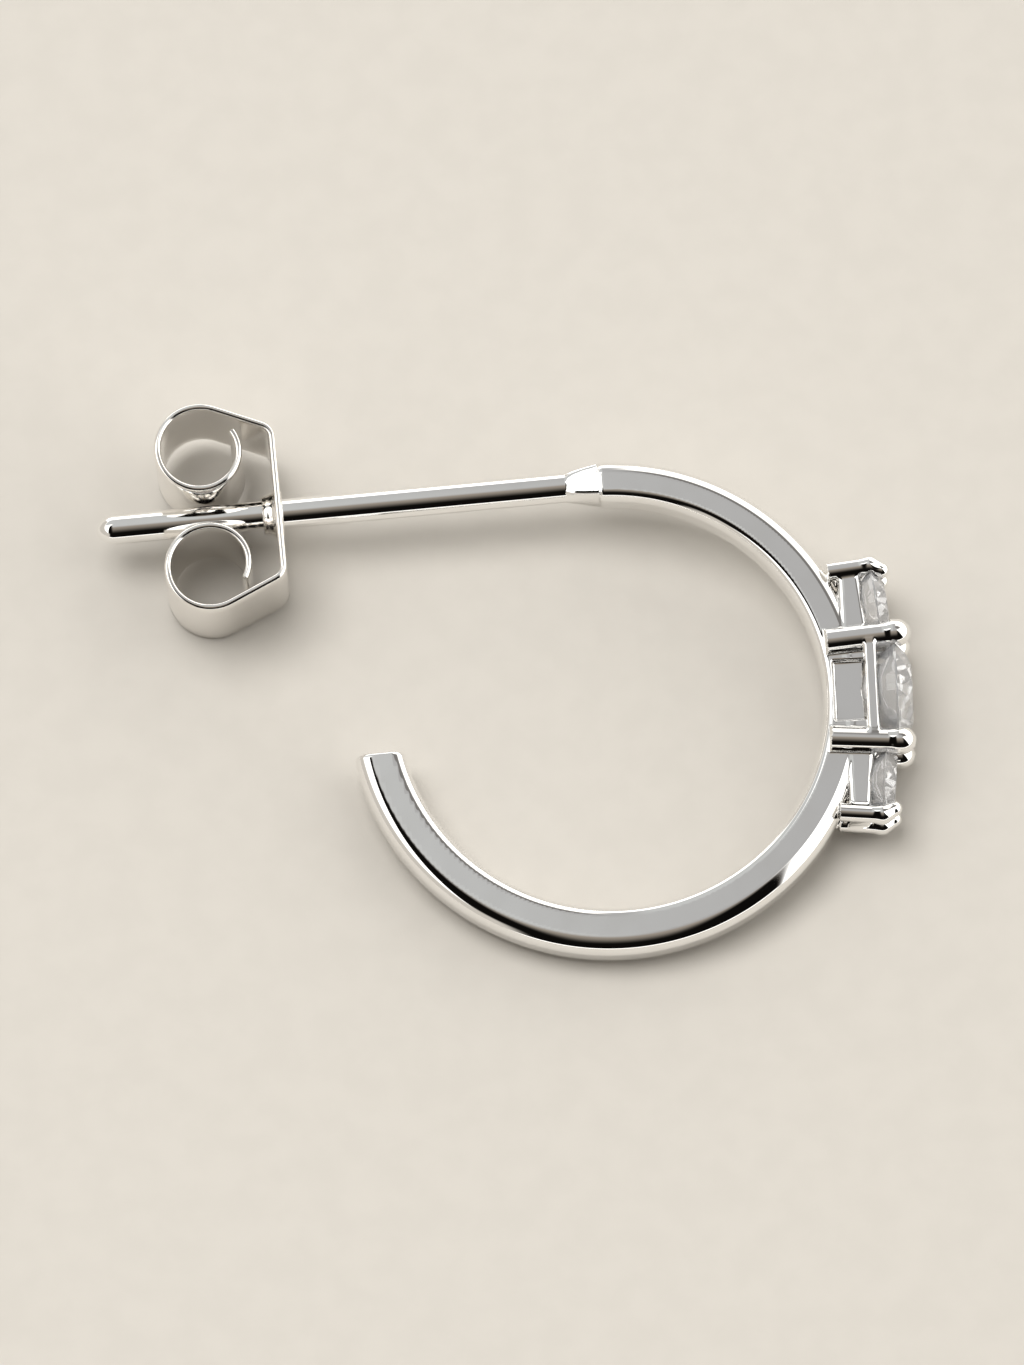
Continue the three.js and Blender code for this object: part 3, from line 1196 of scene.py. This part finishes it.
@dataclass
class Brilliant:
    """A round brilliant in its place on the head."""

    place: StonePlace
    head_turn: float = Head.turn
    sides: int = 96
    inset: float = 0.996
    girdle: float = 0.028
    table: float = 0.31
    crown: tuple[FacetFamily, ...] = (
        FacetFamily(8, 34.5, 0.995, 0.0),
        FacetFamily(16, 41.0, 0.985, 0.0),
        FacetFamily(8, 23.0, 1.225, 22.5),
    )
    pavilion: tuple[FacetFamily, ...] = (
        FacetFamily(8, 41.0, 0.995, 0.0),
        FacetFamily(16, 42.6, 0.985, 0.0),
    )
    pieces: list[bpy.types.Object] = field(default_factory=list)

    def build(self) -> "Brilliant":
        """Cuts the facets from a blank drum and stands the stone in its place.

        Returns:
            The stone.
        """
        radius = self.place.radius * self.inset
        work = bmesh.new()
        size = {"radius1": radius, "radius2": radius, "depth": 2 * radius}
        bmesh.ops.create_cone(work, cap_ends=True, segments=self.sides, **size)
        self._cut(work, Vector((0, 0, self.table * radius)), Vector((0, 0, 1)))
        for families, up in ((self.crown, 1), (self.pavilion, -1)):
            for family in families:
                self._cut_family(work, family, up)
        work.transform(self._stand())
        self.pieces = [new_object(self.place.name, mesh_of(self.place.name, work))]
        return self

    def dress(self) -> None:
        """Gives the stone its finish and ties it to its body."""
        finish_piece(self.pieces[0], CLEAR_STONE, Body.EARRING, self.place.node)

    def _cut(self, work: bmesh.types.BMesh, point: Vector, normal: Vector) -> None:
        """Cuts one flat and closes it.

        Args:
            work: the stone so far.
            point: a point on the flat.
            normal: which way the flat faces.
        """
        parts = [*work.verts, *work.edges, *work.faces]
        result = bmesh.ops.bisect_plane(
            work, geom=parts, plane_co=point, plane_no=normal, clear_outer=True, dist=1e-5
        )
        edges = [g for g in result["geom_cut"] if isinstance(g, bmesh.types.BMEdge) and g.is_boundary]
        if len(edges) > 2:
            bmesh.ops.contextual_create(work, geom=edges)

    def _cut_family(self, work: bmesh.types.BMesh, family: FacetFamily, up: int) -> None:
        """Cuts every facet of one family.

        Args:
            work: the stone so far.
            family: the facets.
            up: 1 for the crown and -1 for the pavilion.
        """
        radius = self.place.radius * self.inset
        slope = math.radians(family.slope)
        point_z = up * self.girdle * radius
        for i in range(family.count):
            turn = math.radians(family.turn + 360 * i / family.count)
            out = Vector((math.cos(turn), math.sin(turn), 0))
            normal = out * math.sin(slope) + Vector((0, 0, up * math.cos(slope)))
            self._cut(work, out * (family.reach * radius) + Vector((0, 0, point_z)), normal)

    def _stand(self) -> Matrix:
        """Finds the stone's place.

        Returns:
            The matrix from its own frame, table up, in millimetres to the row frame.
        """
        head = Matrix.Rotation(math.radians(self.head_turn), 4, "Z")
        foot = Matrix.Translation((self.place.x, self.place.y, 0))
        fan = Matrix.Rotation(math.radians(self.place.fan), 4, "Z")
        lie = Matrix.Rotation(math.pi / 2, 4, "Y")
        return PLACEMENT.matrix() @ head @ foot @ fan @ lie


# ---------------------------------------------------------------- the butterfly back


@dataclass
class ButterflyBack:
    """A strip with a hole for the post, rolled into a scroll at each end."""

    front_x: float = -7.25
    post_y: float = 5.47
    thickness: float = 0.16
    width: float = 2.394
    edge: float = 0.072
    scroll_radius: float = 1.08
    scroll_behind: float = 1.78
    scroll_clear: float = 0.38
    tighten: float = 0.1
    scroll_end: float = -212.0
    shoulder_rise: float = 24.0
    shoulder_radius: float = 0.35
    bore: float = 0.385
    hole_over: float = 0.12
    drill_length: float = 0.8
    end_flat: float = 0.005
    least_corner: float = 0.004
    sharp_angle: float = 40.0
    collar_sides: int = 72
    plate_steps: int = 12
    shoulder_steps: int = 12
    ramp_steps: int = 6
    roll_steps: int = 84
    inner_steps: int = 48
    corner_steps: int = 4
    edge_rows: int = 8
    end_turns: tuple[float, ...] = (90.0, 67.5, 45.0, 22.5)
    # the collar's section, once round, as (before the front face, from the post's axis)
    collar: tuple[Flat, ...] = (
        (0.012, 0.545),
        (0.022, 0.52),
        (0.018, 0.49),
        (-0.01, 0.45),
        (-0.06, 0.41),
        (-0.13, 0.388),
        (-0.42, 0.388),
        (-0.455, 0.405),
        (-0.46, 0.43),
        (-0.44, 0.46),
        (-0.34, 0.485),
        (-0.24, 0.52),
        (-0.18, 0.57),
        (-0.15, 0.62),
        (-0.1, 0.62),
        (-0.06, 0.58),
        (-0.01, 0.56),
    )
    pieces: list[bpy.types.Object] = field(default_factory=list)

    def line(self) -> list[Flat]:
        """Bends the strip's middle line.

        Returns:
            Its points from one scroll's end to the other's, from the middle of the front face.
        """
        upper = [(-behind, away) for behind, away in self._scroll_line()]
        lower = [(x, -y) for x, y in upper]
        top_x, top_y = upper[0]
        steps = self.plate_steps
        plate = [(top_x, top_y * (1 - 2 * t / steps)) for t in range(1, steps)]
        return [*reversed(upper), *plate, *lower]

    def _scroll_line(self) -> list[Flat]:
        """Bends one scroll: a shoulder, a ramp, and a roll that tightens after its first turn.

        Returns:
            Its points, as (behind the front face, away from the post's axis).
        """
        half = self.thickness / 2
        turn = self.scroll_radius - half
        middle = (self.scroll_behind, self.scroll_clear + self.scroll_radius)
        leave = 90 + self.shoulder_rise
        normal = (math.cos(math.radians(leave)), math.sin(math.radians(leave)))
        bend_x = half + self.shoulder_radius
        reach = normal[0] * middle[0] + normal[1] * middle[1] + turn
        bend_y = (reach - self.shoulder_radius - normal[0] * bend_x) / normal[1]
        shoulder = self._arc((bend_x, bend_y), self.shoulder_radius, 180, leave, self.shoulder_steps)
        roll = self._arc(middle, turn, leave, -90, self.roll_steps)
        tight = (middle[0], middle[1] - self.tighten)
        inner = self._arc(tight, turn - self.tighten, -90, self.scroll_end, self.inner_steps)
        (from_x, from_y), (to_x, to_y) = shoulder[-1], roll[0]
        shares = [t / self.ramp_steps for t in range(1, self.ramp_steps)]
        ramp = [(from_x + (to_x - from_x) * t, from_y + (to_y - from_y) * t) for t in shares]
        return [*shoulder, *ramp, *roll, *inner[1:]]

    def _arc(self, middle: Flat, radius: float, start: float, end: float, steps: int) -> list[Flat]:
        """Returns the points of an arc about a middle, between two angles in degrees."""
        angles = [math.radians(start + (end - start) * i / steps) for i in range(steps + 1)]
        return [(middle[0] + radius * math.cos(a), middle[1] + radius * math.sin(a)) for a in angles]

    def _section(self, shrink: float) -> list[Flat]:
        """Draws the strip's section, a long bar with rounded corners.

        Args:
            shrink: how much smaller it is all round.

        Returns:
            Its points, as (across its thickness, along the hoop's axis).
        """
        half, tall = self.thickness / 2 - shrink, self.width / 2 - shrink
        corner = max(min(self.edge, half - self.end_flat), self.least_corner)
        points: list[Flat] = []
        for side, top, low in ((1, -1, -90), (1, 1, 0), (-1, 1, 90), (-1, -1, 180)):
            centre = (side * (half - corner), top * (tall - corner))
            points.extend(self._arc(centre, corner, low, low + 90, self.corner_steps))
            if side * top < 0:
                x, start = points[-1]
                rows = [r / self.edge_rows for r in range(1, self.edge_rows)]
                points.extend((x, start - 2 * start * r) for r in rows)
        return points

    def _ring(self, line: Sequence[Flat], i: int, shrink: float, back: float) -> list[Point]:
        """Stands the strip's section on one point of its line.

        Args:
            line: the middle line.
            i: which of its points.
            shrink: how much smaller the section is all round.
            back: how far the ring moves back along the line from its end.

        Returns:
            The ring.
        """
        ahead, behind = line[min(i + 1, len(line) - 1)], line[max(i - 1, 0)]
        along = Vector((ahead[0] - behind[0], ahead[1] - behind[1])).normalized()
        side = Vector((along.y, -along.x))
        foot = Vector((self.front_x, self.post_y)) + Vector(line[i]) - along * back
        return [(*(foot + side * across), up) for across, up in self._section(shrink)]

    def strip(self) -> bpy.types.Mesh:
        """Rolls the strip, with its rounded ends.

        Returns:
            Its mesh, in millimetres.
        """
        line = self.line()
        last = len(line) - 1
        turns = [math.radians(a) for a in self.end_turns]
        ends = [(self.edge * (1 - math.cos(a)), self.edge * (math.sin(a) - 1)) for a in turns]
        rings = [self._ring(line, 0, shrink, back) for shrink, back in ends]
        rings += [self._ring(line, i, 0.0, 0.0) for i in range(1, last)]
        rings += [self._ring(line, last, shrink, -back) for shrink, back in reversed(ends)]
        shell = Shell()
        shell.tube(rings)
        return shell.mesh("back_strip")

    def bored(self, mesh: bpy.types.Mesh) -> bpy.types.Mesh:
        """Cuts the hole for the post.

        Args:
            mesh: the strip, in millimetres.

        Returns:
            The strip with its hole.
        """
        work = bmesh.new()
        stand = Matrix.Translation((self.front_x, self.post_y, 0)) @ Matrix.Rotation(math.pi / 2, 4, "Y")
        radius = self.bore + self.hole_over
        size = {"radius1": radius, "radius2": radius, "depth": self.drill_length, "matrix": stand}
        bmesh.ops.create_cone(work, cap_ends=True, segments=self.collar_sides, **size)
        blank, tool = new_object("strip_blank", mesh), new_object("drill", mesh_of("drill", work))
        cut = blank.modifiers.new("hole", "BOOLEAN")
        cut.operation, cut.solver, cut.object = "DIFFERENCE", "EXACT", tool
        bpy.context.view_layer.update()
        shown = blank.evaluated_get(bpy.context.evaluated_depsgraph_get())
        made = bpy.data.meshes.new_from_object(shown)
        for used in (blank, tool):
            bpy.data.objects.remove(used)
        return made

    def build(self) -> "ButterflyBack":
        """Makes the strip and the collar.

        Returns:
            The back.
        """
        strip = self.bored(self.strip())
        strip.set_sharp_from_angle(angle=math.radians(self.sharp_angle))
        shell = Shell()
        rings = []
        for i in range(self.collar_sides):
            angle = 2 * math.pi * i / self.collar_sides
            across, up = math.cos(angle), math.sin(angle)
            rings.append([(self.front_x + x, self.post_y + r * across, r * up) for x, r in self.collar])
        shell.tube(rings, capped=False)
        collar = shell.mesh("back_collar")
        for mesh in (strip, collar):
            mesh.transform(PLACEMENT.matrix())
        self.pieces = [new_object("back_strip", strip), new_object("back_collar", collar)]
        return self

    def dress(self) -> None:
        """Gives the back its finish and ties it to its body."""
        for piece in self.pieces:
            finish_piece(piece, ROLLED_SHEET, Body.BACK, "butterfly_back")


# ---------------------------------------------------------------- the studio


@dataclass(frozen=True)
class Side:
    """One side of a sector of the sky: a point on it, seen from above, and its angle in degrees."""

    x: float
    y: float
    angle: float


@dataclass(frozen=True)
class Sky:
    """The light round the object: a grey ceiling, white screens and one dark panel.

    Directions are unit vectors of the row frame: x to the right, y away and z up. Each pair with
    a comment says where a tone starts and where it is full.
    """

    ceiling: Colour = (0.57, 0.575, 0.565)
    ceiling_right: Colour = (0.45, 0.445, 0.44)
    screen: Colour = (1.75, 1.74, 1.7)
    low_screen: Colour = (1.6, 1.57, 1.5)
    dark: Colour = (0.004, 0.0035, 0.003)
    dusk: Colour = (0.32, 0.28, 0.235)
    shade: Colour = (0.2, 0.19, 0.18)
    backdrop: Colour = (0.6, 0.56, 0.5)
    zenith: Flat = (-0.01, 0.198)
    panel: Flat = (0.1, -0.45)
    panel_right: Side = Side(0.13, 0.03, -50.0)
    panel_left: Side = Side(-0.1, 0.25, -172.0)
    back_left: Side = Side(0.0, 0.05, 84.0)
    back_right: Side = Side(0.0, 0.05, 20.0)
    side_blur: Flat = (-0.03, 0.04)  # across a sector's side
    right_tone: Flat = (-0.04, 0.02)  # x of the ceiling's right tone
    ceiling_rim: Flat = (0.16, 0.26)  # away from the zenith
    ceiling_back: Flat = (0.3, 0.4)  # y of the ceiling's back, where it runs on past its rim
    ceiling_high: Flat = (0.46, 0.52)  # z down to which it runs on
    panel_rim: Flat = (0.785, 0.75)  # away from the panel's middle
    shade_rim: Flat = (0.12, 0.2)  # away from the zenith
    back_low: Flat = (0.84, 0.72)  # z of the white screen behind
    gap_x: float = -0.03
    gap: Flat = (0.28, 0.1)  # beside gap_x
    gap_dusk: Flat = (0.12, -0.2)  # y of the dusk in the gap
    gap_dark: Flat = (-0.1, -0.8)  # y of the dark in the gap
    panel_near: Flat = (0.15, 0.27)  # away from the zenith, on both sides of the gap
    front_low: Flat = (0.1, 0.06)  # z of the white screen in front
    left_out: Flat = (-0.45, -0.6)  # x of the plain backdrop on the left
    left_low: Flat = (0.55, 0.38)  # z of it

    def build(self) -> None:
        """Makes the world, in which the camera itself sees only the backdrop's colour."""
        world = bpy.data.worlds.new("studio")
        bpy.context.scene.world = world
        world.use_nodes = True
        recipe = Recipe(world.node_tree)
        seen = recipe.node("ShaderNodeLightPath").outputs["Is Camera Ray"]
        shown = recipe.mix(seen, self._colour(recipe), self.backdrop)
        light = recipe.node("ShaderNodeBackground", None, {"Color": shown, "Strength": 1.0})
        recipe.node("ShaderNodeOutputWorld", None, {"Surface": light.outputs[0]})

    def _colour(self, recipe: Recipe) -> bpy.types.NodeSocket:
        """Lays the screens round the sky.

        Args:
            recipe: the world's tree.

        Returns:
            The colour seen in each direction.
        """
        place = recipe.node("ShaderNodeTexCoord").outputs["Generated"]
        parts = recipe.node("ShaderNodeSeparateXYZ", None, {0: place}).outputs
        x, y, z = (Value(recipe, part) for part in parts)
        away = self._from(x, y, self.zenith)
        front = self._sector(x, y, self.panel_left, self.panel_right)
        back = self._sector(x, y, self.back_right, self.back_left)
        inside = self._from(x, y, self.panel).step(*self.panel_rim) * front
        behind = y.step(*self.ceiling_back) * z.step(*self.ceiling_high)
        gap = ((x - self.gap_x) ** 2.0).root().step(*self.gap)
        beside = away.step(*self.panel_near) * (1 - gap)
        colour = recipe.mix(x.step(*self.right_tone), self.ceiling, self.ceiling_right)
        for mask, tone in (
            (away.step(*self.ceiling_rim) * (1 - behind) * (1 - inside), self.screen),
            (back * away.step(*self.shade_rim), self.shade),
            (back * z.step(*self.back_low), self.low_screen),
            (inside * (gap * y.step(*self.gap_dusk) + beside), self.dusk),
            (inside * (gap * y.step(*self.gap_dark) + beside), self.dark),
            (front * z.step(*self.front_low), self.low_screen),
            (x.step(*self.left_out) * z.step(*self.left_low), self.backdrop),
        ):
            colour = recipe.mix(mask, colour, tone)
        return colour

    def _from(self, x: Value, y: Value, point: Flat) -> Value:
        """Returns how far a direction is from a point of the sky, seen from above."""
        return ((x - point[0]) ** 2.0 + (y - point[1]) ** 2.0).root()

    def _sector(self, x: Value, y: Value, start: Side, end: Side) -> Value:
        """Marks a sector of the sky of less than half a turn.

        Args:
            x: the direction's x.
            y: the direction's y.
            start: its first side.
            end: its last side, anticlockwise from the first.

        Returns:
            1 inside the sector and 0 outside it, with soft sides.
        """
        inside = []
        for side, sign in ((start, 1.0), (end, -1.0)):
            a = math.radians(side.angle)
            beside = (y - side.y) * math.cos(a) - (x - side.x) * math.sin(a)
            inside.append((beside * sign).step(*self.side_blur))
        return inside[0] * inside[1]


@dataclass
class Studio:
    """The floor, the sky, one soft lamp and the camera."""

    sky: Sky = Sky()
    floor_size: float = 3.0
    floor_sides: int = 96
    azimuth: float = -5.3
    elevation: float = 68.0
    distance: float = 0.3
    lens: float = 338.0
    sensor: float = 36.0
    aim: Point = (0.0, -0.0002, 0.0012)
    lamp_from: Point = (-0.22, 0.16, 0.8)
    lamp_size: float = 0.6
    lamp_power: float = 6.0

    def build(self) -> None:
        """Makes everything in the studio, and shows colours as they are."""
        bpy.context.scene.view_settings.view_transform = "Standard"
        self.sky.build()
        self._floor()
        self._lamp()
        self._camera()

    def _floor(self) -> None:
        """Lays the floor."""
        work = bmesh.new()
        bmesh.ops.create_circle(work, cap_ends=True, segments=self.floor_sides, radius=self.floor_size)
        mesh = mesh_of("floor", work)
        mesh.materials.append(PALE_FLOOR.material())
        new_object("floor", mesh)

    def _lamp(self) -> None:
        """Hangs the soft lamp."""
        data = bpy.data.lights.new("soft_lamp", "AREA")
        data.shape, data.size, data.energy = "DISK", self.lamp_size, self.lamp_power
        lamp = bpy.data.objects.new("soft_lamp", data)
        lamp.visible_glossy = False
        lamp.visible_transmission = False
        lamp.location = self.lamp_from
        lamp.rotation_euler = (-Vector(self.lamp_from)).to_track_quat("-Z", "Y").to_euler()
        bpy.context.scene.collection.objects.link(lamp)

    def _camera(self) -> None:
        """Sets up the camera, which looks down on the earring from in front."""
        data = bpy.data.cameras.new("camera")
        data.lens, data.sensor_width, data.sensor_fit = self.lens, self.sensor, "AUTO"
        data.clip_start, data.clip_end = 0.01, 20.0
        camera = bpy.data.objects.new("camera", data)
        a, e = math.radians(self.azimuth), math.radians(self.elevation)
        back = Vector((math.sin(a) * math.cos(e), -math.cos(a) * math.cos(e), math.sin(e)))
        camera.location = Vector(self.aim) + back * self.distance
        camera.rotation_euler = (-back).to_track_quat("-Z", "Y").to_euler()
        bpy.context.scene.collection.objects.link(camera)
        bpy.context.scene.camera = camera


# ---------------------------------------------------------------- the making


def main() -> None:
    """Builds the studio and then each sub-assembly in order, and dresses it."""
    logging.basicConfig(level=logging.INFO, format="%(name)s: %(message)s")
    Studio().build()
    for part in (SolderedHoop(), *(Brilliant(place) for place in STONES), ButterflyBack()):
        part.build().dress()
        for piece in part.pieces:
            LOG.info("%s: %d faces", piece.name, len(piece.data.polygons))


if __name__ == "__main__":
    main()
